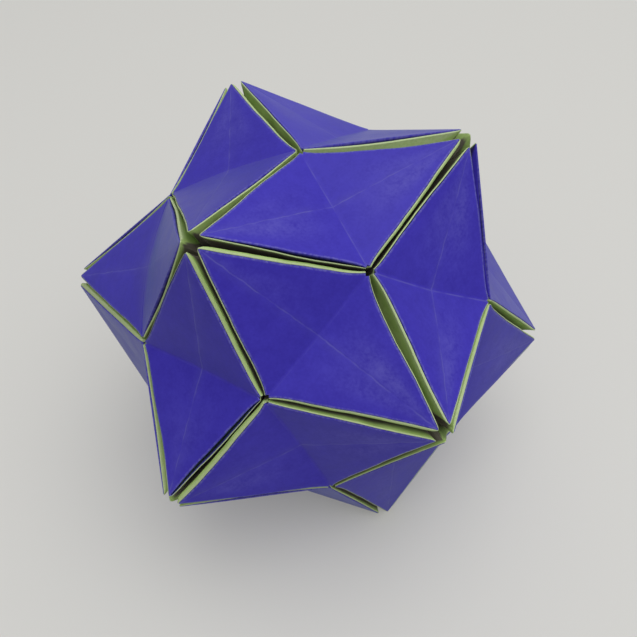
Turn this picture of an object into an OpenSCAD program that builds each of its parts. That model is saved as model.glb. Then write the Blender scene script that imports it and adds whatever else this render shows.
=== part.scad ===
// Kusudama ball of thirty identical folded paper units.
// Each unit is a rhombic panel with a valley fold along its short diagonal and a wall
// folded down along each side. The wall is hemmed: its raw edge comes back up beside the
// panel and leans into the slot as a lip. Five units meet at each of twelve points that
// stick out, and three at each of twenty hollow corners between them.
// The ball stands on three of its points, at z = 0, with its middle over the origin.

/* [Ball] */
// Distance from the middle of the ball to where the seams meet at a point, in mm
point_radius = 71; // [64:0.5:80]
// Distance from the middle of the ball to where the seams meet at a hollow corner, in mm
corner_radius = 55; // [48:0.5:57]

/* [Paper] */
// Thickness of the pressed paper layers in a panel or wall, in mm
sheet_t = 0.4; // [0.2:0.05:0.7]
// Gap between two walls where they are stuck face to face, in mm
glue_gap = 0.1; // [0.04:0.02:0.3]

/* [Hems] */
// Width of the lip that the raw edge makes, in mm
lip_w = 0.4; // [0.1:0.05:0.5]
// Depth of the lip's crest below the panel's folded edge, in mm
lip_drop = 0.2; // [0:0.05:0.4]
// Further depth of the lip's other edge, at the slot, in mm
lip_fall = 0.4; // [0.1:0.05:0.8]
// Width of the crack between the panel's folded edge and the lip, in mm
hem_gap = 0.3; // [0.15:0.05:0.5]
// Depth of that crack, in mm
hem_depth = 1.2; // [0.6:0.1:2]

/* [Slots] */
// Width of an open slot between its lips at the point end, in mm
slot_w = 1.6; // [1:0.1:3]
// Extra width of a slot at the middle of its length, in mm
slot_mid_w = 0.3; // [0:0.1:1.6]
// Depth from the lips of a slot to where its walls meet, in mm
slot_depth = 8; // [4:0.25:11]
// Height of the stuck part of a wall below the slot, in mm
lap_h = 3; // [2:0.25:6]
// How late and how bluntly a slot closes at its corner end
pod_end = 8; // [4:1:12]

/* [Tips] */
// Rounding radius of the lip round an acute tip, in mm
tip_r = 0.9; // [0.4:0.05:1.4]
// Radius of the hole between the five tips at a point, measured below the lips, in mm
point_hole_r = 1.8; // [1:0.1:2.6]
// Length cut from a unit's blunt corner, in mm
corner_cut = 1; // [0.8:0.05:1.8]

/* [Hidden] */
golden = (1 + sqrt(5)) / 2;
units_at_point = 5;

// Angles from a unit's own axis to its points and to its corners
point_angle = atan(1 / golden);
corner_angle = atan(1 / (golden * golden));

// The ideal ends of the seam in the quarter of a unit with x and y positive
point = [point_radius * sin(point_angle), 0, point_radius * cos(point_angle)];
corner = [0, corner_radius * sin(corner_angle), corner_radius * cos(corner_angle)];
point_axis = point / norm(point);
corner_axis = corner / norm(corner);

// A quarter panel is a right triangle with its square corner at the middle of the unit
panel_tilt = atan2(point.z - corner.z, point.x);
panel_len = norm([point.x, point.z - corner.z]);
panel_half_w = corner.y;
seam_len = norm(point - corner);
tip_half_angle = asin(panel_half_w / seam_len);

// The seam lies in a plane through the middle of the ball, and its normal points into the unit
seam_normal = cross(point, corner) / norm(cross(point, corner));
inset_dir = [-panel_half_w * cos(panel_tilt), -panel_len, -panel_half_w * sin(panel_tilt)] / seam_len;
inset_per_width = 1 / (inset_dir * seam_normal);
seam_lean = acos(((point - corner) / seam_len) * point_axis);

// Steps along one side: the first round the tip, the rest along the lip, and the last at the corner
side_steps = 6;
tip_steps = 1;
last_lip = side_steps - 1;
ring_len = 4 * side_steps;
seam_end = 1 - corner_cut / seam_len;

// Point at a depth under a panel's face, from its distances along the long and short diagonals
function panel_point(p, drop) =
    [p.x * cos(panel_tilt), p.y, corner.z + p.x * sin(panel_tilt) - drop / cos(panel_tilt)];

// Point moved towards the middle of the ball
function sunk(p, depth) = p * (1 - depth / norm(p));

// How far each step is along the lip, with the steps closer together towards the corner
function along(step) =
    let (s = (step - tip_steps) / (last_lip - tip_steps))
    1 - (1 - s) * (1 - s);

// Half the width of a slot at a distance along its lip
function slot_half(s) =
    (glue_gap + slot_w * (1 - pow(s, pod_end)) + slot_mid_w * 4 * s * (1 - s)) / 2;

// Rounding of the tip, tighter further in, and the place of its centre on the long diagonal
least_tip_r = tip_r / 8;
function tip_round(extra) = max(tip_r - extra * inset_per_width, least_tip_r);
function tip_centre(extra) =
    let (inset = (slot_half(0) + extra) * inset_per_width)
    panel_len - (inset + tip_round(extra)) / sin(tip_half_angle);

// Share of the seam's length at the start of the lip, and at each step along it
function lip_start(extra) =
    let (
        r = tip_round(extra),
        p = [tip_centre(extra) + r * sin(tip_half_angle), r * cos(tip_half_angle)]
    )
    ((panel_len - p.x) * panel_len + p.y * panel_half_w) / (seam_len * seam_len);
function lip_share(step, extra) =
    lip_start(extra) + (seam_end - lip_start(extra)) * along(step);

// Outline of a quarter panel, pulled in from the seam by the slot and an extra width
function outline(step, extra) =
    step < tip_steps ?
        let (a = (90 - tip_half_angle) * step / tip_steps, r = tip_round(extra))
        [tip_centre(extra) + r * cos(a), r * sin(a)] :
    step == side_steps ?
        [0, panel_half_w - corner_cut - extra] :
    let (
        share = lip_share(step, extra),
        inset = (slot_half(along(step)) + extra) * inset_per_width
    )
    [panel_len * (1 - share), panel_half_w * share]
        - inset * [panel_half_w, panel_len] / seam_len;

// Point of a stuck wall at a depth below the seam, with the walls cut back round each hole
function wall_point(step, depth, extra) =
    step < tip_steps ?
        let (
            a = 180 / units_at_point * step / tip_steps,
            side = [-point_axis.z, 0, point_axis.x],
            height = seam_point(point_share(extra), depth, extra) * point_axis
        )
        height * point_axis + (point_hole_r + extra) * (cos(a) * side + [0, sin(a), 0]) :
    step == side_steps ?
        let (
            side = [0, -corner_axis.z, corner_axis.y],
            height = seam_point(seam_end, depth, extra) * corner_axis
        )
        height * corner_axis + (corner_cut + extra) * side :
    seam_point(step == tip_steps ? point_share(extra) : lip_share(step, extra), depth, extra);

function point_share(extra) = (point_hole_r + extra) / (seam_len * sin(seam_lean));
function seam_point(share, depth, extra) =
    sunk(point + share * (corner - point), depth) + (glue_gap / 2 + extra) * seam_normal;

// The rings of a unit: the panel's folded edge, the crack of the hem, the two edges of the lip,
// the slot's wall down to its stuck foot, and back up the hidden side to the panel
wall_depth = slot_depth + lap_h;
hem_w = lip_w + hem_gap;
function wall_dir(step) =
    let (d = wall_point(step, slot_depth, 0) - panel_point(outline(step, 0), 0))
    d / norm(d);
rings = [
    for (step = [0 : side_steps])
    [
        panel_point(outline(step, hem_w), 0),
        panel_point(outline(step, lip_w + hem_gap / 2), 0) + hem_depth * wall_dir(step),
        sunk(panel_point(outline(step, lip_w), 0), lip_drop),
        sunk(panel_point(outline(step, 0), 0), lip_drop + lip_fall),
        wall_point(step, slot_depth, 0),
        wall_point(step, wall_depth, 0),
        wall_point(step, wall_depth, sheet_t),
        panel_point(outline(step, hem_w + sheet_t), sheet_t)
    ]
];
ring_count = len(rings[0]);
signs = [[1, 1], [-1, 1], [-1, -1], [1, -1]];
function mirrored(p, s) = [p.x * s.x, p.y * s.y, p.z];
ring_points = [
    for (r = [0 : ring_count - 1])
    for (quarter = [0 : 3])
    for (k = [0 : side_steps - 1])
    mirrored(rings[quarter % 2 == 0 ? k : side_steps - k][r], signs[quarter])
];
valley_points = [panel_point([0, 0], 0), panel_point([0, 0], sheet_t)];
unit_points = concat(ring_points, valley_points);

// Faces between the rings, and a fan of faces round the middle of the valley on each side
function at(r, k) = r * ring_len + k % ring_len;
function quad(a, b, c, d, turned) = turned ? [[a, b, d], [b, c, d]] : [[a, b, c], [a, c, d]];
wall_faces = [
    for (r = [0 : ring_count - 2])
    for (k = [0 : ring_len - 1])
    let (turned = floor(k / side_steps) % 2 == 0)
    each quad(at(r, k), at(r, k + 1), at(r + 1, k + 1), at(r + 1, k), turned)
];
face_middle = ring_count * ring_len;
panel_faces = [
    for (k = [0 : ring_len - 1])
    each [
        [face_middle, at(0, k + 1), at(0, k)],
        [face_middle + 1, at(ring_count - 1, k), at(ring_count - 1, k + 1)]
    ]
];

// The twelve point directions in four rings of three, with a hollow corner at the top
top_polar = acos(sqrt((5 + 2 * sqrt(5)) / 15));
side_polar = acos(sqrt((5 - 2 * sqrt(5)) / 15));
polars = [top_polar, side_polar, 180 - side_polar, 180 - top_polar];
function direction(ring, k) =
    let (a = 120 * k + 60 * (ring % 2))
    [sin(polars[ring]) * cos(a), sin(polars[ring]) * sin(a), cos(polars[ring])];

// Units by height: a name and the two rings of points that each unit joins
tiers = [
    ["top_unit_", 0, 0],
    ["upper_unit_", 0, 1],
    ["upper_side_unit_", 0, 2],
    ["middle_unit_", 1, 2],
    ["lower_side_unit_", 1, 3],
    ["lower_unit_", 2, 3],
    ["bottom_unit_", 3, 3]
];
neighbour_cos = 1 / sqrt(5);
angle_slack = 0.01;
function joins(tier) = [
    for (i = [0 : 2])
    for (j = [tier[1] == tier[2] ? i + 1 : 0 : 1 : 2])
    let (a = direction(tier[1], i), b = direction(tier[2], j))
    if (abs(a * b - neighbour_cos) < angle_slack) [a, b]
];
units = [for (tier = tiers) each joins(tier)];
NODES = [
    for (tier = tiers)
    for (n = [1 : len(joins(tier))])
    str(tier[0], n)
];

// Axes of a unit's place: along its long diagonal, along its short diagonal, and outwards
function axes(unit) =
    let (
        x = (unit[0] - unit[1]) / norm(unit[0] - unit[1]),
        z = (unit[0] + unit[1]) / norm(unit[0] + unit[1])
    )
    [x, cross(z, x), z];
rest_height = -min([
    for (unit = units)
    for (p = unit_points)
    let (m = axes(unit))
    p.x * m[0].z + p.y * m[1].z + p.z * m[2].z
]);

module folded_unit() {
    color("#4a40ae")
        polyhedron(points = unit_points, faces = concat(wall_faces, panel_faces), convexity = 6);
}

module placed_unit(unit) {
    m = axes(unit);
    multmatrix([
        [m[0].x, m[1].x, m[2].x, 0],
        [m[0].y, m[1].y, m[2].y, 0],
        [m[0].z, m[1].z, m[2].z, rest_height]
    ])
        folded_unit();
}

for (i = [0 : len(NODES) - 1])
    placed_unit(units[i]);
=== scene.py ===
"""Looks of a kusudama ball of thirty folded paper units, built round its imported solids."""

import bpy
import numpy as np
from mathutils import Matrix, Vector


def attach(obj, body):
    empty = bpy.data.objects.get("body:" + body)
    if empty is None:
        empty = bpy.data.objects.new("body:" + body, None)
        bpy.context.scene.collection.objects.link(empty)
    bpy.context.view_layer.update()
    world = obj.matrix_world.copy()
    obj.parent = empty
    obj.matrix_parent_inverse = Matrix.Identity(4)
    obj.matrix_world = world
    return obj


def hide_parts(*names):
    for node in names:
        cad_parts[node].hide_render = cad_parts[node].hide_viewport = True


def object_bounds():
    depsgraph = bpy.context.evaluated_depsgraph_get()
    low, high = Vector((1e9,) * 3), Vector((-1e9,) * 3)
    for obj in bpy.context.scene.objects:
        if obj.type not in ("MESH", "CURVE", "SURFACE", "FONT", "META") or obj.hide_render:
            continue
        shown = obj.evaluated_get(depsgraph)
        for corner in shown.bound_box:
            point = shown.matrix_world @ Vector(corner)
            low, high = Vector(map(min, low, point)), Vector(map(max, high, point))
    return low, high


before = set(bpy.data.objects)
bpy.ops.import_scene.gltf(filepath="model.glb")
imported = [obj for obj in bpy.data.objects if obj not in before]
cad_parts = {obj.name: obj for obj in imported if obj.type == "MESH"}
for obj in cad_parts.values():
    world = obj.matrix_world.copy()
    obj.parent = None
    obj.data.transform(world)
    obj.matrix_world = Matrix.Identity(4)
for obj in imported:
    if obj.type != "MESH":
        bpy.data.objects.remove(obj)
cad_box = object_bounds()
scene = bpy.context.scene
scene.view_settings.view_transform = "Standard"


# Folded units: the shape of one unit.
# Each unit is a square of thin paper, violet blue on one side and leaf green on the other.
# It is folded to a rhombic panel with a valley across it and a hemmed wall down each side.

MM = 0.001
GOLDEN = (1 + 5 ** 0.5) / 2

# Sizes of a unit in mm, the same as in its solid
point_radius = 71.0
corner_radius = 55.0
sheet_t = 0.4
glue_gap = 0.1
lip_w = 0.4
lip_drop = 0.2
lip_fall = 0.4
hem_gap = 0.3
hem_depth = 1.2
slot_w = 1.6
slot_mid_w = 0.3
slot_depth = 8.0
lap_h = 3.0
pod_end = 13
tip_r = 0.9
point_hole_r = 1.8
corner_cut = 1.0

# Sizes in mm that only the softer folds of the paper need
fold_r = 0.2
valley_r = 0.3
crest_r = 0.07
least_tip_r = tip_r / 8
crack_least = 0.12
corner_sink = 0.9
under_drop = 1.2
dip_reach = 9.0

point_angle = np.arctan(1 / GOLDEN)
corner_angle = np.arctan(1 / GOLDEN ** 2)
point = point_radius * np.array([np.sin(point_angle), 0, np.cos(point_angle)])
corner = corner_radius * np.array([0, np.sin(corner_angle), np.cos(corner_angle)])
point_axis = point / point_radius
corner_axis = corner / corner_radius
panel_tilt = np.arctan2(point[2] - corner[2], point[0])
panel_len = np.hypot(point[0], point[2] - corner[2])
panel_half_w = corner[1]
seam_len = np.linalg.norm(point - corner)
tip_half_angle = np.arcsin(panel_half_w / seam_len)
seam_normal = np.cross(point, corner) / np.linalg.norm(np.cross(point, corner))
inset_dir = np.array([
    -panel_half_w * np.cos(panel_tilt),
    -panel_len,
    -panel_half_w * np.sin(panel_tilt),
]) / seam_len
inset_per_width = 1 / (inset_dir @ seam_normal)
seam_lean = np.arccos((point - corner) @ point_axis / seam_len)
seam_end = 1 - corner_cut / seam_len

# Five units share the round hole under a point, so each half of one takes a tenth of a turn
hole_half_turn = np.radians(36)

# Steps of one side: round the tip, along the lip, and across the blunt corner
TIP_STEPS = 6
LIP_STEPS = 26
CORNER_STEPS = 4
SIDE_STEPS = TIP_STEPS + LIP_STEPS + CORNER_STEPS
there = np.arange(SIDE_STEPS)
back = SIDE_STEPS - there
ring_step = np.concatenate([there, back, there, back])
ring_x = np.repeat([1, -1, -1, 1], SIDE_STEPS)
ring_y = np.repeat([1, 1, -1, -1], SIDE_STEPS)
ring_side = np.repeat([0, 1, 2, 3], SIDE_STEPS)
ring_tip = np.repeat([0, 1, 1, 0], SIDE_STEPS)
RING = len(ring_step)
tip_share = np.clip(ring_step / TIP_STEPS, 0, 1)
lip_step = np.clip((ring_step - TIP_STEPS) / LIP_STEPS, 0, 1)
along = (1 - np.cos(np.pi * lip_step)) / 2
corner_share = np.clip((ring_step - TIP_STEPS - LIP_STEPS) / CORNER_STEPS, 0, 1)

# Two small waves along a lip: the height in mm, and the turn from tip to corner in radians
slow_wave, slow_turn = 0.05, 15
quick_wave, quick_turn = 0.03, 37


def slot_half(hand):
    """Half the width from seam to lip line: a blunt pod that closes at the corner.

    A swell of half a sine, a skew of a whole sine and the two small waves are added, as given for each
    side.
    """
    pod = glue_gap + slot_w * (1 - along ** pod_end) + slot_mid_w * 4 * along * (1 - along)
    swell = hand["swell"][ring_side] * np.sin(np.pi * along)
    skew = hand["skew"][ring_side] * np.sin(2 * np.pi * along)
    ripple = hand["ripple"][ring_side]
    wavy = slow_wave * np.sin(slow_turn * along + ripple)
    wavy = wavy + quick_wave * np.sin(quick_turn * along + 2 * ripple)
    return np.maximum(pod / 2 + swell + skew + wavy * np.sin(np.pi * along), glue_gap / 2)


crack_blunt = 0.6


def hem_crack(hand):
    """Width of the crack between the panel's fold and the lip: pinched at both ends, gaping towards one."""
    gape = 1 + hand["gape"][ring_side] * (2 * along - 1)
    open_share = np.sin(np.pi * along) ** crack_blunt * gape
    return crack_least + (hand["crack"][ring_side] - crack_least) * open_share


tip_blend = 12


def outline(extra, hand):
    """Ring of panel points inset from the seams.

    It is a tip arc, then the seam line moved in square to itself, then a cut corner. The line starts at the
    arc's end and leaves it by a high power of the way still to go.
    """
    extra = np.broadcast_to(extra, (RING,))
    r = np.maximum(tip_r - extra * inset_per_width, least_tip_r)
    half_tip = (glue_gap + slot_w) / 2
    centre = panel_len - ((half_tip + extra) * inset_per_width + r) / np.sin(tip_half_angle)
    centre = centre - hand["tip_back"][ring_tip]
    turn = (np.pi / 2 - tip_half_angle) * tip_share
    arc = np.stack([centre + r * np.cos(turn), r * np.sin(turn)], 1)
    end = np.stack([centre + r * np.sin(tip_half_angle), r * np.cos(tip_half_angle)], 1)
    first = ((panel_len - end[:, 0]) * panel_len + end[:, 1] * panel_half_w) / seam_len ** 2
    share = first + (seam_end - first) * along
    inset = (slot_half(hand) + extra) * inset_per_width
    lip = np.stack([panel_len * (1 - share), panel_half_w * share], 1)
    lip = lip - inset[:, None] * np.array([panel_half_w, panel_len]) / seam_len
    lip = lip + (end - lip) * ((1 - along) ** tip_blend)[:, None]
    cut = np.stack([0 * extra, panel_half_w - corner_cut - extra], 1)
    lip = lip + (cut - lip) * corner_share[:, None]
    return np.where((ring_step < TIP_STEPS)[:, None], arc, lip)


def panel_height(x):
    """Height of the panel's face: two planes that rise from the valley, rounded where they meet."""
    return corner[2] + np.sin(panel_tilt) * (np.hypot(x, valley_r) - valley_r)


def panel_point(p, drop):
    """Panel points lifted into the unit's own space, a distance under the face along its normal."""
    height = panel_height(p[:, 0]) - drop / np.cos(panel_tilt)
    return np.stack([p[:, 0] * np.cos(panel_tilt), p[:, 1], height], 1)


def sunk(p, depth):
    """Points moved that far straight towards the ball's middle, so they stay on their side of a seam."""
    reach = np.linalg.norm(p, axis=1)
    return p * (1 - depth / reach)[:, None]


def seam_point(share, depth, extra):
    """Point under the seam, that far towards the ball's middle and set off square to the seam's plane."""
    on_seam = point + np.multiply.outer(share, corner - point)
    return sunk(on_seam, depth) + (glue_gap / 2 + extra) * seam_normal


def wall_point(depth, extra):
    """Ring of points on the stuck walls: flat along the seams, round at the hole, cut at the corner."""
    first = (point_hole_r + extra) / (seam_len * np.sin(seam_lean))
    wall = seam_point(first + (seam_end - first) * along, depth, extra)
    turn = hole_half_turn * tip_share[:, None]
    hole = (seam_point(np.array([first]), depth, extra)[0] @ point_axis) * point_axis
    radius = point_hole_r + extra
    inwards = [-point_axis[2], 0, point_axis[0]]
    nose = hole + radius * (np.cos(turn) * inwards + np.sin(turn) * [0, 1, 0])
    cut = (seam_point(np.array([seam_end]), depth, extra)[0] @ corner_axis) * corner_axis
    cut = cut + (corner_cut + extra) * np.array([0, -corner_axis[2], corner_axis[1]])
    wall = wall + (cut - wall) * corner_share[:, None]
    return np.where((ring_step < TIP_STEPS)[:, None], nose, wall)


FOLD_STEPS = 5
CRACK_STEPS = 3
WALL_STEPS = 12
LIP_ACROSS = [0, 0.06, 0.15, 0.35, 0.6, 0.85, 1]

# How the lip narrows at its ends, and how its face and the wall below it curve
tip_reach = 0.04
narrow_at_tip = 0.55
narrow_at_corner = 0.5
corner_power = 6
crest_reach = 0.15
lip_power = 1.7
wall_power = 2.4

# How soon the painted shade darkens the wall: at the start of a side, more by its end, and more right at
# the tip
dusk_start = 0.35
dusk_growth = 1.2
dusk_at_tip = 1.2


def unit_rings(hand):
    """Rings from the panel's edge over its fold, down the crack, over the lip, down the slot and under.

    Each ring has a kind and a depth in mm, sped up on the walls for their painted shade: 0 fold, 1 crack, 2
    lip, 3 slot wall, 4 hidden.
    """
    crack = hem_crack(hand)
    fold_in = lip_w + hem_gap
    crest = fold_in - crack
    at_tip = np.exp(-along / tip_reach)
    narrowed = (1 - narrow_at_corner * along ** corner_power) * (1 - narrow_at_tip * at_tip)
    brim = crest - hand["lip"][ring_side] * narrowed
    brim = np.maximum(brim, glue_gap / 2 - slot_half(hand))
    crest_drop = lip_drop + hand["sink"][ring_side] * np.sin(np.pi * along) + corner_sink * corner_share
    fall = np.minimum(lip_fall * (crest - brim) / lip_w, 2 * lip_fall)
    # dusk speeds up the wall's depth, so its painted shade comes on sooner
    dusk = hand["dusk"][ring_side] * (dusk_start + dusk_growth * along) + dusk_at_tip * at_tip
    rim = fall * np.minimum(dusk, 1)
    level = np.zeros(RING)
    rings, kind, depth = [], [], []
    for turn in np.linspace(0, np.pi / 2, FOLD_STEPS):
        inset = fold_in + fold_r * (1 - np.sin(turn))
        rings.append(panel_point(outline(inset, hand), fold_r * (1 - np.cos(turn))))
        kind.append(0)
        depth.append(level)
    fold = rings[-1]
    bottom = sunk(panel_point(outline(crest + crack / 2, hand), 0), hem_depth + crack)
    for part in np.linspace(0, 1, CRACK_STEPS + 1)[1:]:
        rings.append(fold + (bottom - fold) * part)
        kind.append(1)
        depth.append(level + hem_depth * part)
    inner = sunk(panel_point(outline(crest, hand), 0), crest_drop + crest_r)
    for part in np.linspace(0, 1, CRACK_STEPS + 1)[1:-1]:
        rings.append(bottom + (inner - bottom) * part)
        kind.append(1)
        depth.append(level + hem_depth * (1 - part))
    for part in LIP_ACROSS:
        drop = crest_drop + fall * part ** lip_power + crest_r * max(0, 1 - part / crest_reach) ** 2
        rings.append(sunk(panel_point(outline(crest + (brim - crest) * part, hand), 0), drop))
        kind.append(2)
        depth.append(rim * part)
    kind[-len(LIP_ACROSS)] = 1
    shore = rings[-1]
    drop = wall_point(slot_depth, 0) - shore
    radial = shore / np.linalg.norm(shore, axis=1, keepdims=True)
    deep = (drop * radial).sum(1, keepdims=True) * radial
    for part in np.linspace(0, 1, WALL_STEPS + 1)[1:]:
        rings.append(shore + deep * part + (drop - deep) * part ** wall_power)
        kind.append(3)
        depth.append(rim + dusk * slot_depth * part)
    rings.append(wall_point(slot_depth + lap_h, 0))
    rings.append(wall_point(slot_depth + lap_h, sheet_t))
    rings.append(panel_point(outline(fold_in + 2 * sheet_t, hand), sheet_t + under_drop))
    kind += [4, 4, 4]
    depth += [level + slot_depth + lap_h] * 3
    rings = np.array(rings)
    rings[:, :, 0] *= ring_x
    rings[:, :, 1] *= ring_y
    return rings, np.array(kind), np.array(depth)


def strip(lower, upper):
    """Quads between two index rows of one length, each run up from the lower row and back down to it."""
    return np.stack([lower[:-1], upper[:-1], upper[1:], lower[1:]], 1)


PANEL_COLS = 20
valley_share = 0.18

# Scuffed patches and rubbed tips: places and widths as shares of the way aside or out, and the most rub
scuff_aside, scuff_aside_w = 0.3, 0.3
scuff_out, scuff_out_w = 0.5, 0.28
tip_rub, tip_rub_from, tip_rub_len = 0.35, 0.8, 0.2


def unit_mesh(hand):
    """Points, faces, and wear and shade of a closed unit: rings, panel rows from fold to fold, and the
    underside.

    A row lies across the panel. Its lift is a ridge over the long diagonal, a bow on each side of it and a
    low wave, all of which die out at the folds, at the valley and towards the tips, less a dip that is
    deepest at the valley. Wear and shade is the depth below the lip, which sets the painted shade in crack
    and slot, the distance from a fold in mm, and the scuff. A turned hem is blue to the bottom of its slot,
    and its wall counts as away from the fold.
    """
    rings, kind, depth = unit_rings(hand)
    count = len(rings)
    points = rings.reshape(-1, 3)
    index = np.arange(count * RING).reshape(count, RING)
    index = np.concatenate([index, index[:, :1]], 1)
    walls = np.concatenate([strip(index[r], index[r + 1]) for r in range(count - 1)])
    wall_kind = np.repeat(kind[1:], RING)
    wall_kind[hand["turned"][np.tile(ring_side, count - 1)] > 0] = 1

    rows = np.arange(1, 2 * SIDE_STEPS)
    share = np.linspace(0, 1, PANEL_COLS + 1)[1:-1]
    near, far = rings[0][rows], rings[0][(RING - rows) % RING]
    inside = near[:, None] + (far - near)[:, None] * share[None, :, None]
    half = (inside[:, :, 0] < 0).astype(int)
    hand_side = (inside[:, :, 1] < 0).astype(int)
    off_middle = np.broadcast_to(np.abs(2 * share - 1)[None, :], half.shape)
    half_width = (np.abs(near[:, 1] - far[:, 1]) / 2)[:, None]
    far_out = np.abs(inside[:, :, 0]) / point[0]
    room = half_width / panel_half_w * (1 - np.exp(-(far_out / valley_share) ** 2))
    inside[:, :, 2] += hand["ridge"][half] * (1 - off_middle) * room
    inside[:, :, 2] += hand["bow"][half, hand_side] * 4 * off_middle * (1 - off_middle) * room
    wave = hand["wave"]
    phase = inside[:, :, 0] * wave[0] + inside[:, :, 1] * wave[1] + wave[2]
    inside[:, :, 2] += wave[3] * np.sin(phase) * (1 - off_middle ** 2) * room
    dip = hand["dip"] * np.exp(-np.abs(inside[:, :, 0]) / dip_reach)
    inside[:, :, 2] -= dip * (1 - off_middle ** 2) * half_width / panel_half_w

    start = len(points)
    patch = hand["scuff"][half, hand_side] * np.exp(-((off_middle - scuff_aside) / scuff_aside_w) ** 2)
    patch = patch * np.exp(-((far_out - scuff_out) / scuff_out_w) ** 2)
    rub = tip_rub * np.clip((far_out - tip_rub_from) / tip_rub_len, 0, 1)
    wear_and_shade = np.zeros((start + inside.shape[0] * inside.shape[1], 3))
    wear_and_shade[:start, 0] = depth.ravel()
    wear_and_shade[:start, 1] = np.outer(kind > 1, hand["turned"][ring_side]).ravel()
    wear_and_shade[:start, 2] = tip_rub * ((depth == 0) & (tip_share < 1)).ravel()
    wear_and_shade[start:, 1] = ((1 - off_middle) * half_width * panel_len / seam_len).ravel()
    wear_and_shade[start:, 2] = np.maximum(patch, rub).ravel()

    points = np.concatenate([points, inside.reshape(-1, 3)])
    grid = np.concatenate([
        rows[:, None],
        start + np.arange(inside.shape[0] * inside.shape[1]).reshape(inside.shape[:2]),
        (RING - rows)[:, None],
    ], 1)
    panel = np.concatenate([strip(grid[r], grid[r + 1]) for r in range(len(rows) - 1)])
    tips = np.concatenate([
        np.stack([np.zeros(PANEL_COLS, int), grid[0, :-1], grid[0, 1:]], 1),
        np.stack([np.full(PANEL_COLS, 2 * SIDE_STEPS), grid[-1, 1:], grid[-1, :-1]], 1),
    ])
    last = (count - 1) * RING
    far_tip = last + 2 * SIDE_STEPS
    under = strip(last + rows, last + RING - rows)
    ends = np.array([[last, last + RING - 1, last + 1], [far_tip, far_tip - 1, far_tip + 1]])
    quads = np.concatenate([walls, panel, under])
    kinds = np.concatenate([wall_kind, np.zeros(len(panel), int), np.full(len(under), 4)])
    tris = np.concatenate([tips, ends])
    tri_kind = np.concatenate([np.zeros(len(tips), int), np.full(len(ends), 4)])
    return points, wear_and_shade, quads, kinds, tris, tri_kind


# Folded units: the paper.
# The blue side has a satin finish, pale worn creases on both diagonals, and pale folds that are partly
# rubbed paper and partly a painted highlight.
# The green side is duller and shows in the slots, with a pale raw edge along each lip and painted shade of
# dark brown deep down.


def knit(tree, kind, feeds=None, **settings):
    """A shader node: settings and plain inputs are given by name, and sockets feed its other inputs."""
    made = tree.nodes.new(kind)
    for name, value in settings.items():
        socket = made.inputs.get(name.replace("_", " "))
        if socket is None:
            setattr(made, name, value)
        else:
            socket.default_value = value
    for name, source in (feeds or {}).items():
        tree.links.new(source, made.inputs[name])
    return made


def reckon(tree, operation, *terms):
    """A math node's result, its terms being sockets or plain numbers."""
    made = knit(tree, "ShaderNodeMath", operation=operation)
    for place, term in enumerate(terms):
        if isinstance(term, (int, float)):
            made.inputs[place].default_value = term
        else:
            tree.links.new(term, made.inputs[place])
    return made.outputs["Value"]


def ease(tree, source, low, high, at_low=0.0, at_high=1.0):
    """A smooth step of the source: one value up to low, another from high on."""
    made = knit(
        tree, "ShaderNodeMapRange", {"Value": source}, interpolation_type="SMOOTHSTEP",
        From_Min=low, From_Max=high, To_Min=at_low, To_Max=at_high,
    )
    return made.outputs["Result"]


def flecks(tree, place, scale, detail=2.0):
    """Cloudy noise about a half, with features one over the scale across."""
    made = knit(
        tree, "ShaderNodeTexNoise", {"Vector": place},
        Scale=scale, Detail=detail, Roughness=0.55,
    )
    return made.outputs["Fac"]


def tint(tree, share, first, second):
    """A mix of two colours, each a socket or plain red, green and blue."""
    made = knit(tree, "ShaderNodeMix", data_type="RGBA")
    sockets = (made.inputs[0], made.inputs[6], made.inputs[7])
    for socket, source in zip(sockets, (share, first, second)):
        if isinstance(source, tuple):
            socket.default_value = (*source, 1)
        else:
            tree.links.new(source, socket)
    return made.outputs[2]


deep_blue = (0.036, 0.023, 0.355)
full_blue = (0.051, 0.036, 0.45)
worn_and_highlight_blue = (0.19, 0.185, 0.47)
painted_crack_shade = (0.012, 0.01, 0.045)
gloss_tint = (0.55, 1, 0.55, 1)


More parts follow.
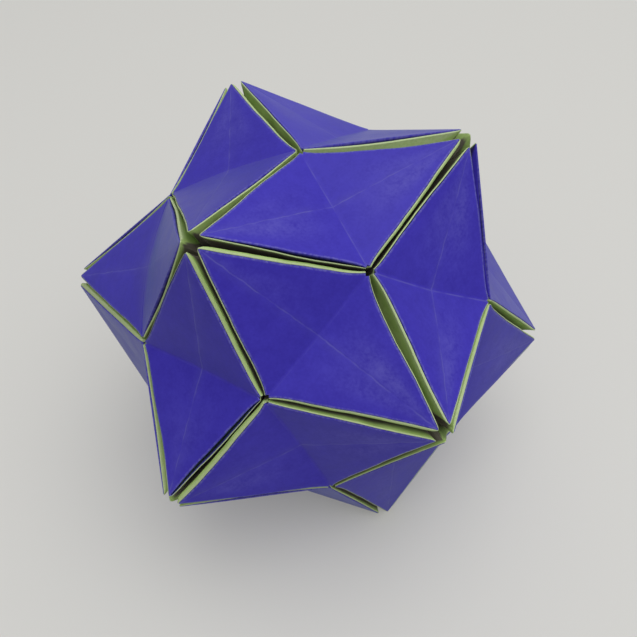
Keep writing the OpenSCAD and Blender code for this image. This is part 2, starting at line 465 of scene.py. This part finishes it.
def blue_paper():
    """Violet-blue face: mottled dye, pale worn creases on both diagonals, pale folds rubbed and with a
    painted highlight, scuffed patches.

    Flecks and creases are laid out in mm on the unit's own sheet. Paleness is the most of its causes, and
    the face is painted dark with depth in the crack, as painted shade.
    """
    paper = bpy.data.materials.new("blue_paper")
    paper.use_nodes = True
    tree = paper.node_tree
    shader = tree.nodes["Principled BSDF"]
    sheet = knit(tree, "ShaderNodeAttribute", attribute_name="sheet").outputs["Vector"]
    across = knit(tree, "ShaderNodeSeparateXYZ", {"Vector": sheet}).outputs
    wear_and_shade = knit(tree, "ShaderNodeAttribute", attribute_name="wear_and_shade").outputs["Vector"]
    worn_and_shaded = knit(tree, "ShaderNodeSeparateXYZ", {"Vector": wear_and_shade}).outputs
    tone = knit(tree, "ShaderNodeAttribute", attribute_name="tone").outputs["Fac"]
    valley_wear = knit(tree, "ShaderNodeAttribute", attribute_name="valley").outputs["Fac"]

    # Dye, uneven at four sizes of fleck
    clouds, mottle = flecks(tree, sheet, 0.045, 3.0), flecks(tree, sheet, 0.3, 3.0)
    fibre, grain = flecks(tree, sheet, 1.4, 3.0), flecks(tree, sheet, 4.5, 1.0)
    dye = reckon(tree, "MULTIPLY_ADD", clouds, 0.5, tone)
    dye = reckon(tree, "MULTIPLY_ADD", mottle, 0.55, dye)
    dye = reckon(tree, "MULTIPLY_ADD", fibre, 0.45, dye)
    colour = tint(tree, ease(tree, dye, 0.4, 1.1), deep_blue, full_blue)

    # Creases that wander and break off, pale folds that are rubbed and carry a painted highlight, and
    # scuffs
    wander = reckon(tree, "MULTIPLY_ADD", mottle, 0.9, -0.45)
    off_ridge = reckon(tree, "ABSOLUTE", reckon(tree, "ADD", across["Y"], wander))
    off_valley = reckon(tree, "ABSOLUTE", reckon(tree, "ADD", across["X"], 0.3))
    broken = ease(tree, flecks(tree, sheet, 0.16, 2.0), 0.32, 0.62, 0.12, 1.0)
    ridge = reckon(tree, "MULTIPLY", ease(tree, off_ridge, 0.06, 0.28, 0.33, 0.0), broken)
    halo = reckon(tree, "MULTIPLY", ease(tree, off_ridge, 0.0, 2.6, 0.07, 0.0), broken)
    valley = reckon(tree, "MULTIPLY", ease(tree, off_valley, 0.05, 0.3, 0.3, 0.0), broken)
    valley = reckon(tree, "MULTIPLY", valley, valley_wear)
    # Painted highlight with some rubbing: the face is paler within a few tenths of a mm of each fold
    rubbed_and_highlit = ease(tree, fibre, 0.35, 0.65, 0.1, 0.5)
    fold = reckon(tree, "MULTIPLY", ease(tree, worn_and_shaded["Y"], 0.05, 0.4, 1.0, 0.0), rubbed_and_highlit)
    rough_spots = ease(tree, reckon(tree, "ADD", fibre, mottle), 0.5, 1.5)
    scuff = reckon(tree, "MULTIPLY", worn_and_shaded["Z"], rough_spots)
    pale = reckon(tree, "MAXIMUM", reckon(tree, "MAXIMUM", ridge, valley), fold)
    pale = reckon(tree, "MAXIMUM", pale, reckon(tree, "ADD", halo, scuff))
    colour = tint(tree, pale, colour, worn_and_highlight_blue)
    # Painted shade: the face darkens to near black with depth in the crack and down a turned hem
    crack_shade_share = ease(tree, worn_and_shaded["X"], 0.05, 0.7, 0.0, 0.92)
    colour = tint(tree, crack_shade_share, colour, painted_crack_shade)
    tree.links.new(colour, shader.inputs["Base Color"])

    # Satin gloss, duller where it is worn, and a low relief of grain, fibres and soft dents
    rough = reckon(tree, "MULTIPLY_ADD", mottle, 0.14, 0.31)
    tree.links.new(reckon(tree, "MULTIPLY_ADD", pale, 0.2, rough), shader.inputs["Roughness"])
    shader.inputs["Specular IOR Level"].default_value = 0.16
    shader.inputs["Sheen Weight"].default_value = 0.1
    shader.inputs["Sheen Roughness"].default_value = 0.35
    shader.inputs["Sheen Tint"].default_value = gloss_tint
    crease = ease(tree, off_ridge, 0.0, 0.5, 1.0, 0.0)
    relief = reckon(tree, "MULTIPLY_ADD", grain, 0.012, reckon(tree, "MULTIPLY", fibre, 0.02))
    relief = reckon(tree, "MULTIPLY_ADD", flecks(tree, sheet, 0.11, 2.0), 0.35, relief)
    relief = reckon(tree, "MULTIPLY_ADD", crease, -0.05, relief)
    bump = knit(tree, "ShaderNodeBump", {"Height": relief}, Strength=0.5, Distance=MM)
    tree.links.new(bump.outputs["Normal"], shader.inputs["Normal"])
    return paper


dark_leaf = (0.295, 0.44, 0.12)
light_leaf = (0.39, 0.54, 0.18)
painted_slot_shade = (0.11, 0.1, 0.075)
raw_edge = (0.51, 0.6, 0.345)


def green_paper():
    """Leaf-green back: a pale raw edge at the lip, then green, and painted shade of dark brown deep in the
    slot.
    """
    paper = bpy.data.materials.new("green_paper")
    paper.use_nodes = True
    tree = paper.node_tree
    shader = tree.nodes["Principled BSDF"]
    place = tree.nodes.new("ShaderNodeTexCoord").outputs["Object"]
    wear_and_shade = knit(tree, "ShaderNodeAttribute", attribute_name="wear_and_shade").outputs["Vector"]
    deep = knit(tree, "ShaderNodeSeparateXYZ", {"Vector": wear_and_shade}).outputs["X"]
    patchy, fibre = flecks(tree, place, 180.0, 3.0), flecks(tree, place, 1500.0, 2.0)
    colour = tint(tree, ease(tree, patchy, 0.3, 0.7), dark_leaf, light_leaf)
    # Painted shade: the green goes dark brown with depth in the slot, sooner in patches
    slot_shade_depth = reckon(tree, "MULTIPLY_ADD", patchy, -1.2, reckon(tree, "ADD", deep, 0.6))
    colour = tint(tree, ease(tree, slot_shade_depth, 1.2, 5.0), colour, painted_slot_shade)
    at_lip = ease(tree, deep, 0.05, 0.8, 1.0, 0.0)
    raw = reckon(tree, "MULTIPLY", at_lip, ease(tree, fibre, 0.3, 0.7, 0.65, 1.0))
    colour = tint(tree, raw, colour, raw_edge)
    tree.links.new(colour, shader.inputs["Base Color"])
    tree.links.new(reckon(tree, "MULTIPLY_ADD", patchy, 0.2, 0.58), shader.inputs["Roughness"])
    shader.inputs["Specular IOR Level"].default_value = 0.3
    bump = knit(tree, "ShaderNodeBump", {"Height": fibre}, Strength=0.25, Distance=0.05 * MM)
    tree.links.new(bump.outputs["Normal"], shader.inputs["Normal"])
    return paper


# Folded units: putting the ball together.
# Thirty units stand on the edges of an icosahedron's net, each joining two of the twelve points.
# Their walls are stuck together along sixty seams, and the ball rests on three of its points.

top_polar = np.arccos(np.sqrt((5 + 2 * 5 ** 0.5) / 15))
side_polar = np.arccos(np.sqrt((5 - 2 * 5 ** 0.5) / 15))
polars = [top_polar, side_polar, np.pi - side_polar, np.pi - top_polar]
TIERS = [
    ("top_unit", 0, 0),
    ("upper_unit", 0, 1),
    ("upper_side_unit", 0, 2),
    ("middle_unit", 1, 2),
    ("lower_side_unit", 1, 3),
    ("lower_unit", 2, 3),
    ("bottom_unit", 3, 3),
]


def direction(ring, k):
    """Unit vector to a point of the ball: its ring's polar angle, and a third of a turn for each step.

    Odd rings are turned half a third further.
    """
    polar, turn = polars[ring], np.radians(120 * k + 60 * (ring % 2))
    return np.array([np.sin(polar) * np.cos(turn), np.sin(polar) * np.sin(turn), np.cos(polar)])


next_point_cos = 1 / 5 ** 0.5
near_enough = 0.01


def neighbours(low, high):
    """Pairs of points, one from each ring, that are as far apart as the two ends of a unit."""
    pairs = [
        (direction(low, i), direction(high, j))
        for i in range(3) for j in range(i + 1 if low == high else 0, 3)
    ]
    return [(a, b) for a, b in pairs if abs(a @ b - next_point_cos) < near_enough]


def unit_axes(a, b):
    """Axes along the long diagonal, along the short diagonal and outwards, as rows."""
    x = (a - b) / np.linalg.norm(a - b)
    z = (a + b) / np.linalg.norm(a + b)
    return np.array([x, np.cross(z, x), z])


# Move in mm of the first tip, then the other, of the three units that stand apart at the upper right point
FAR_TIP_PARTED = [[0.8, 1.5, 0], [0, 0, 0]]

# What the hand gave the units in view, with lengths in mm. For each of the four sides: the slot's swell and
# skew, the hem's crack and where it gapes, the lip's width and sink, how soon the wall's painted shade sets
# in, and a one where the hem is turned blue side out. For each half: the ridge, the bow and scuff on either
# side of it, and how far its tip is parted from the rest. For the unit: the valley's dip, and how pale it
# is worn.
SEEN = {
    "top_unit_1": {
        "swell": [-0.1, -0.1, 0.1, 0.5], "skew": [0, 0, 0.05, 0.2], "crack": [0.2, 0.2, 0.25, 0.7],
        "lip": [0.5, 0.5, 0.25, 0.45], "sink": [0.2, 0.2, 0.2, 0.9], "dusk": [1, 1, 0.7, 0.05],
        "parted": FAR_TIP_PARTED,
    },
    "top_unit_2": {
        "swell": [0.5, -0.6, -0.2, -0.5], "skew": [0.15, 0.25, 0.1, 0.15],
        "crack": [0.15, 0.15, 0.85, 0.15], "gape": [0, 0, 0.8, 0],
        "lip": [0.15, 0.35, 0.25, 0.75], "sink": [0.3, 0, 0, 0], "dusk": [0.3, 2, 6, 4],
        "dip": 0.5, "valley": 0.9,
    },
    "top_unit_3": {
        "swell": [-0.3, -0.15, -0.5, 0.1], "skew": [0, 0.3, 0.2, 0.05], "crack": [0.3, 0.15, 0.35, 0.15],
        "lip": [0.25, 0.5, 0.3, 0.75], "sink": [0.3, 0, 0.3, 0], "dusk": [1, 0.3, 2, 0.8],
        "dip": -0.5, "valley": 0.1,
    },
    "upper_unit_1": {"parted": FAR_TIP_PARTED},
    "upper_unit_2": {
        "swell": [-0.6, 0.05, -0.15, -0.75], "skew": [0.15, -0.25, 0, 0], "crack": [0.3, 0.2, 0.25, 0.15],
        "lip": [0.3, 0.5, 0.9, 0.15], "dusk": [4, 0.25, 0.5, 2],
        "dip": 1.0, "valley": 1.0,
    },
    "upper_unit_4": {
        "swell": [0, 0, -0.6, -0.6], "crack": [0.2, 0.2, 0.4, 0.4],
        "lip": [0.5, 0.5, 0.2, 0.2], "sink": [0.2, 0.2, 0.8, 0.8],
    },
    "upper_unit_5": {
        "swell": [-0.15, -0.3, -0.4, -0.45], "skew": [0.3, 0, 0, 0],
        "crack": [0.6, 0.3, 0.25, 0.5], "gape": [0.8, 0, 0, 0.4],
        "lip": [0.6, 0.2, 0.25, 0.45], "sink": [0.7, 0.2, 0.2, 0.9], "dusk": [0.4, 1, 0.4, 4],
        "ridge": [1.5, 0.1], "scuff": [[0, 0], [0, 0]],
        "dip": -1.6, "valley": 0,
    },
    "upper_unit_6": {
        "swell": [-0.4, -0.1, 0.05, -0.1], "skew": [0, 0.15, -0.25, 0.1], "crack": [0.15, 0.2, 0.2, 0.15],
        "lip": [0.35, 0.9, 0.25, 0.95], "dusk": [3, 1.5, 1, 4],
        "dip": 1.1, "valley": 0.15,
    },
    "upper_side_unit_1": {
        "swell": [-0.8, 0, 0, 0], "crack": [0.5, 0.3, 0.3, 0.3],
        "lip": [0.15, 0.5, 0.5, 0.5], "sink": [0.9, 0, 0.2, 0.2], "dusk": [0.03, 1, 1, 1],
        "turned": [1, 0, 0, 0], "bow": [[0.7, 0.1], [0.1, 0.1]], "parted": FAR_TIP_PARTED,
    },
    "upper_side_unit_3": {
        "swell": [-0.45, 0, 0, -0.15], "skew": [0, 0.35, 0.2, 0], "crack": [0.5, 0.2, 1.1, 0.15],
        "lip": [0.15, 0.7, 0.25, 1.0], "dusk": [5, 0.5, 5, 3], "scuff": [[0, 0], [0.1, 0.1]],
        "dip": 0.6, "valley": 0.2,
    },
    "middle_unit_4": {
        "swell": [0, 0, -0.3, 0.2],
        "lip": [0.5, 0.5, 0.4, 1.6], "sink": [0.2, 0.2, 0.4, 0.1], "dusk": [1, 1, 0.5, 0.4],
    },
    "middle_unit_5": {
        "crack": [0.3, 0.3, 0.3, 0.5], "lip": [0.5, 0.5, 0.4, 0.9], "dusk": [1, 1, 0.8, 0.5],
    },
    "middle_unit_6": {
        "swell": [-0.1, 0.15, -0.6, 0], "skew": [0.15, 0.25, 0, 0.15], "crack": [0.25, 0.15, 0.15, 0.15],
        "lip": [0.3, 1.3, 0.15, 0.4], "sink": [0, 0, 0.4, 0], "dusk": [2, 4, 1, 5],
        "dip": 0.8, "valley": 0.15,
    },
    "lower_side_unit_3": {
        "skew": [0.15, 0, 0, 0], "crack": [0.4, 0.2, 0.2, 0.2],
        "lip": [0.3, 0.35, 0.5, 0.5], "dusk": [6, 5, 1, 1],
    },
    "lower_unit_6": {
        "swell": [0, 0, 0, -0.6],
        "lip": [0.5, 0.5, 0.35, 0.15], "sink": [0.2, 0.2, 0.2, 0.6], "dusk": [1, 1, 5, 1],
    },
}

# Points and corners that the hand left off their true places: polar angle and turn in degrees, then the
# move in mm
ASTRAY = np.array([
    [37.4, 0, 0.3, 2.4, 0],
    [37.4, -120, -0.4, -1.2, 0],
    [79.2, -60, 0.85, 0, 1.6],
    [100.8, -120, -1.1, 0, -1.9],
    [142.6, -60, 0.7, 0.5, 0],
    [0, 0, 0.5, -1.5, 0],
    [41.8, -60, -0.6, 0, 0],
    [70.5, -97.8, -0.4, 0, 0],
    [41.8, 180, 1.2, 0.7, 0],
    [70.5, -22.2, 1.0, 0.6, 0.9],
])
same_way_cos = 0.99


def astray(way):
    """Move of the point or corner that lies that way from the ball's middle, by the spot listed near it."""
    polar, turn = np.radians(ASTRAY[:, :2].T)
    spots = np.stack([np.sin(polar) * np.cos(turn), np.sin(polar) * np.sin(turn), np.cos(polar)], 1)
    return (spots @ way > same_way_cos) @ ASTRAY[:, 2:]


def set_in_ball(points, axes, a, b, parted):
    """Points in the ball's space, each pulled along with the unit's points and corners.

    The pull is the move there times the point's share of the way out to it.
    """
    out, aside = points[:, :1] / point[0], points[:, 1:2] / corner[1]
    moves = np.maximum(out, 0) * (astray(a) + parted[0]) + np.maximum(-out, 0) * (astray(b) + parted[1])
    moves += np.maximum(aside, 0) * astray(corner_axis @ axes)
    moves += np.maximum(-aside, 0) * astray(corner_axis * [1, -1, 1] @ axes)
    return points @ axes + moves


ball_middle = np.array([0, 0, (cad_box[0].z + cad_box[1].z) / 2])
papers = [blue_paper(), green_paper()]
PAPER_OF_KIND = np.array([0, 0, 1, 1, 1])
sharp_fold = np.radians(40)
whole_turn = 6.28
draw = np.random.default_rng(30)
for tier, low, high in TIERS:
    for number, (a, b) in enumerate(neighbours(low, high), 1):
        name = f"{tier}_{number}"
        hand = {
            "swell": draw.uniform(-0.25, 0.15, 4),
            "skew": draw.uniform(-0.05, 0.2, 4),
            "ripple": draw.uniform(0, whole_turn, 4),
            "crack": draw.uniform(0.12, 0.4, 4),
            "gape": draw.uniform(-0.3, 0.6, 4),
            "lip": draw.uniform(0.25, 0.8, 4),
            "sink": draw.uniform(0, 0.3, 4),
            "dusk": draw.uniform(0.6, 2.5, 4),
            "dip": draw.uniform(-0.4, 0.9),
            "valley": draw.uniform(0.1, 0.9),
            "tip_back": draw.uniform(0, 0.2, 2),
            "ridge": draw.uniform(-0.35, 0.35, 2),
            "bow": draw.uniform(-0.15, 0.3, (2, 2)),
            "wave": draw.uniform([0.05, 0.05, 0, 0.03], [0.2, 0.2, whole_turn, 0.12]),
            "scuff": draw.uniform(0, 0.35, (2, 2)),
            "parted": np.zeros((2, 3)),
            "turned": np.zeros(4),
        }
        tone = draw.uniform(-0.15, 0.15)
        for trait, seen in SEEN.get(name, {}).items():
            hand[trait] = np.array(seen)
        points, wear_and_shade, quads, kinds, tris, tri_kind = unit_mesh(hand)
        # A height of its own on the sheet gives each unit other flecks
        own_height = np.full(len(points), 100.0 * number + 10 * polars[high])
        sheet = np.column_stack([points[:, :2], own_height])
        points = set_in_ball(points, unit_axes(a, b), a, b, hand["parted"]) * MM + ball_middle
        mesh = bpy.data.meshes.new(name)
        mesh.from_pydata(points.tolist(), [], quads.tolist() + tris.tolist())
        for paper in papers:
            mesh.materials.append(paper)
        slots = PAPER_OF_KIND[np.concatenate([kinds, tri_kind])]
        mesh.polygons.foreach_set("material_index", slots.astype(np.int32))
        for trait, values in (("sheet", sheet), ("wear_and_shade", wear_and_shade)):
            layer = mesh.attributes.new(trait, "FLOAT_VECTOR", "POINT")
            layer.data.foreach_set("vector", values.ravel())
        for trait, value in (("tone", tone), ("valley", hand["valley"])):
            layer = mesh.attributes.new(trait, "FLOAT", "POINT")
            layer.data.foreach_set("value", np.full(len(points), value))
        mesh.shade_smooth()
        mesh.set_sharp_from_angle(angle=sharp_fold)
        unit = bpy.data.objects.new("folded_" + name, mesh)
        scene.collection.objects.link(unit)
        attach(unit, "root")
        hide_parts(name)


# Table top: the plain pale surface that the ball stands on.
# It is a smooth board with dull grey-white paint, laid flat under the three lowest points.
# A faint glow, seen only by the camera and in a gloss, makes it as pale as it is round the ball.

table_half = 3.0
table_grey = (0.5, 0.495, 0.47, 1)
pale_glow = (1, 0.995, 0.97, 1)
pale_share = 0.17


def seen_as_picture(tree):
    """One for the rays that show a surface itself: from the camera, off a gloss and through glass."""
    ray = tree.nodes.new("ShaderNodeLightPath").outputs
    shown = reckon(tree, "MAXIMUM", ray["Is Camera Ray"], ray["Is Glossy Ray"])
    return reckon(tree, "MAXIMUM", shown, ray["Is Transmission Ray"])


table_mesh = bpy.data.meshes.new("table_top")
table_corners = table_half * np.array([[-1, -1, 0], [1, -1, 0], [1, 1, 0], [-1, 1, 0]])
table_mesh.from_pydata(table_corners.tolist(), [], [(0, 1, 2, 3)])
table_paint = bpy.data.materials.new("table_paint")
table_paint.use_nodes = True
table_tree = table_paint.node_tree
table_shader = table_tree.nodes["Principled BSDF"]
table_shader.inputs["Base Color"].default_value = table_grey
table_shader.inputs["Roughness"].default_value = 0.7
table_shader.inputs["Specular IOR Level"].default_value = 0.2
table_shader.inputs["Emission Color"].default_value = pale_glow
table_glow = reckon(table_tree, "MULTIPLY", seen_as_picture(table_tree), pale_share)
table_tree.links.new(table_glow, table_shader.inputs["Emission Strength"])
table_mesh.materials.append(table_paint)
table_top = bpy.data.objects.new("table_top", table_mesh)
scene.collection.objects.link(table_top)


# Light: a pale room that is brightest overhead, a little to the right and in front.
# Its light falls off towards the floor and to both sides, and one wide soft lamp hangs at the bright place.
# What the camera and the gloss see of the room is an even pale wall.

brightest_way = (0.25, -0.14, 0.96)
dimmest, brightest = 0.03, 1.11
dimmest_lean = -0.05
side_shade = 0.4
wall_pale = 0.62
room = bpy.data.worlds.new("room")
scene.world = room
room.use_nodes = True
room_tree = room.node_tree
way = room_tree.nodes.new("ShaderNodeTexCoord").outputs["Generated"]
leaning = knit(room_tree, "ShaderNodeVectorMath", {0: way}, operation="DOT_PRODUCT")
leaning.inputs[1].default_value = brightest_way
glow = knit(
    room_tree, "ShaderNodeMapRange", {"Value": leaning.outputs["Value"]},
    From_Min=dimmest_lean, From_Max=1.0, To_Min=dimmest, To_Max=brightest,
)
way_parts = knit(room_tree, "ShaderNodeSeparateXYZ", {"Vector": way}).outputs
sideways = reckon(room_tree, "ABSOLUTE", way_parts["X"])
side_dim = ease(room_tree, sideways, 0.2, 0.9, 1.0, side_shade)
shaded = reckon(room_tree, "MULTIPLY", glow.outputs["Result"], side_dim)
strength = knit(room_tree, "ShaderNodeMix", data_type="FLOAT")
strength.inputs[3].default_value = wall_pale
room_tree.links.new(seen_as_picture(room_tree), strength.inputs[0])
room_tree.links.new(shaded, strength.inputs[2])
room_tree.links.new(strength.outputs[0], room_tree.nodes["Background"].inputs["Strength"])
room_tree.nodes["Background"].inputs["Color"].default_value = (1, 1, 1, 1)

lamp_place = Vector((0.42, -0.26, 1.4))
lamp_aim = Vector((0, 0, 0.05))
lamp = bpy.data.lights.new("soft_lamp", "AREA")
lamp.shape = "DISK"
lamp.size = 1.8
lamp.energy = 10.6
lamp_stand = bpy.data.objects.new("soft_lamp", lamp)
lamp_stand.location = lamp_place
lamp_stand.rotation_euler = (lamp_aim - lamp_place).to_track_quat("-Z", "Y").to_euler()
scene.collection.objects.link(lamp_stand)


# Camera: held by hand over the front edge of the table, close above the ball.
# It is tipped down by the elevation, turned a little to one side and rolled a few degrees.
# Its place and angles were fitted to the ends of the seams in the picture.

PICTURE = 637
focal_px = 741.1
eye_from_ball = (17.9, -161.92, 151.46)
camera_turn, camera_elevation, camera_roll = 5.69, 43.83, -4.46
camera = bpy.data.cameras.new("camera")
camera.sensor_width = 36
camera.lens = camera.sensor_width * focal_px / PICTURE
camera.clip_start = 0.01
camera_stand = bpy.data.objects.new("camera", camera)
turn, tip, roll = np.radians([camera_turn, 90 - camera_elevation, camera_roll])
hold = Matrix.Rotation(turn, 4, "Z") @ Matrix.Rotation(tip, 4, "X") @ Matrix.Rotation(roll, 4, "Z")
eye = Vector(ball_middle) + Vector(eye_from_ball) * MM
camera_stand.matrix_world = Matrix.Translation(eye) @ hold
scene.collection.objects.link(camera_stand)
scene.camera = camera_stand
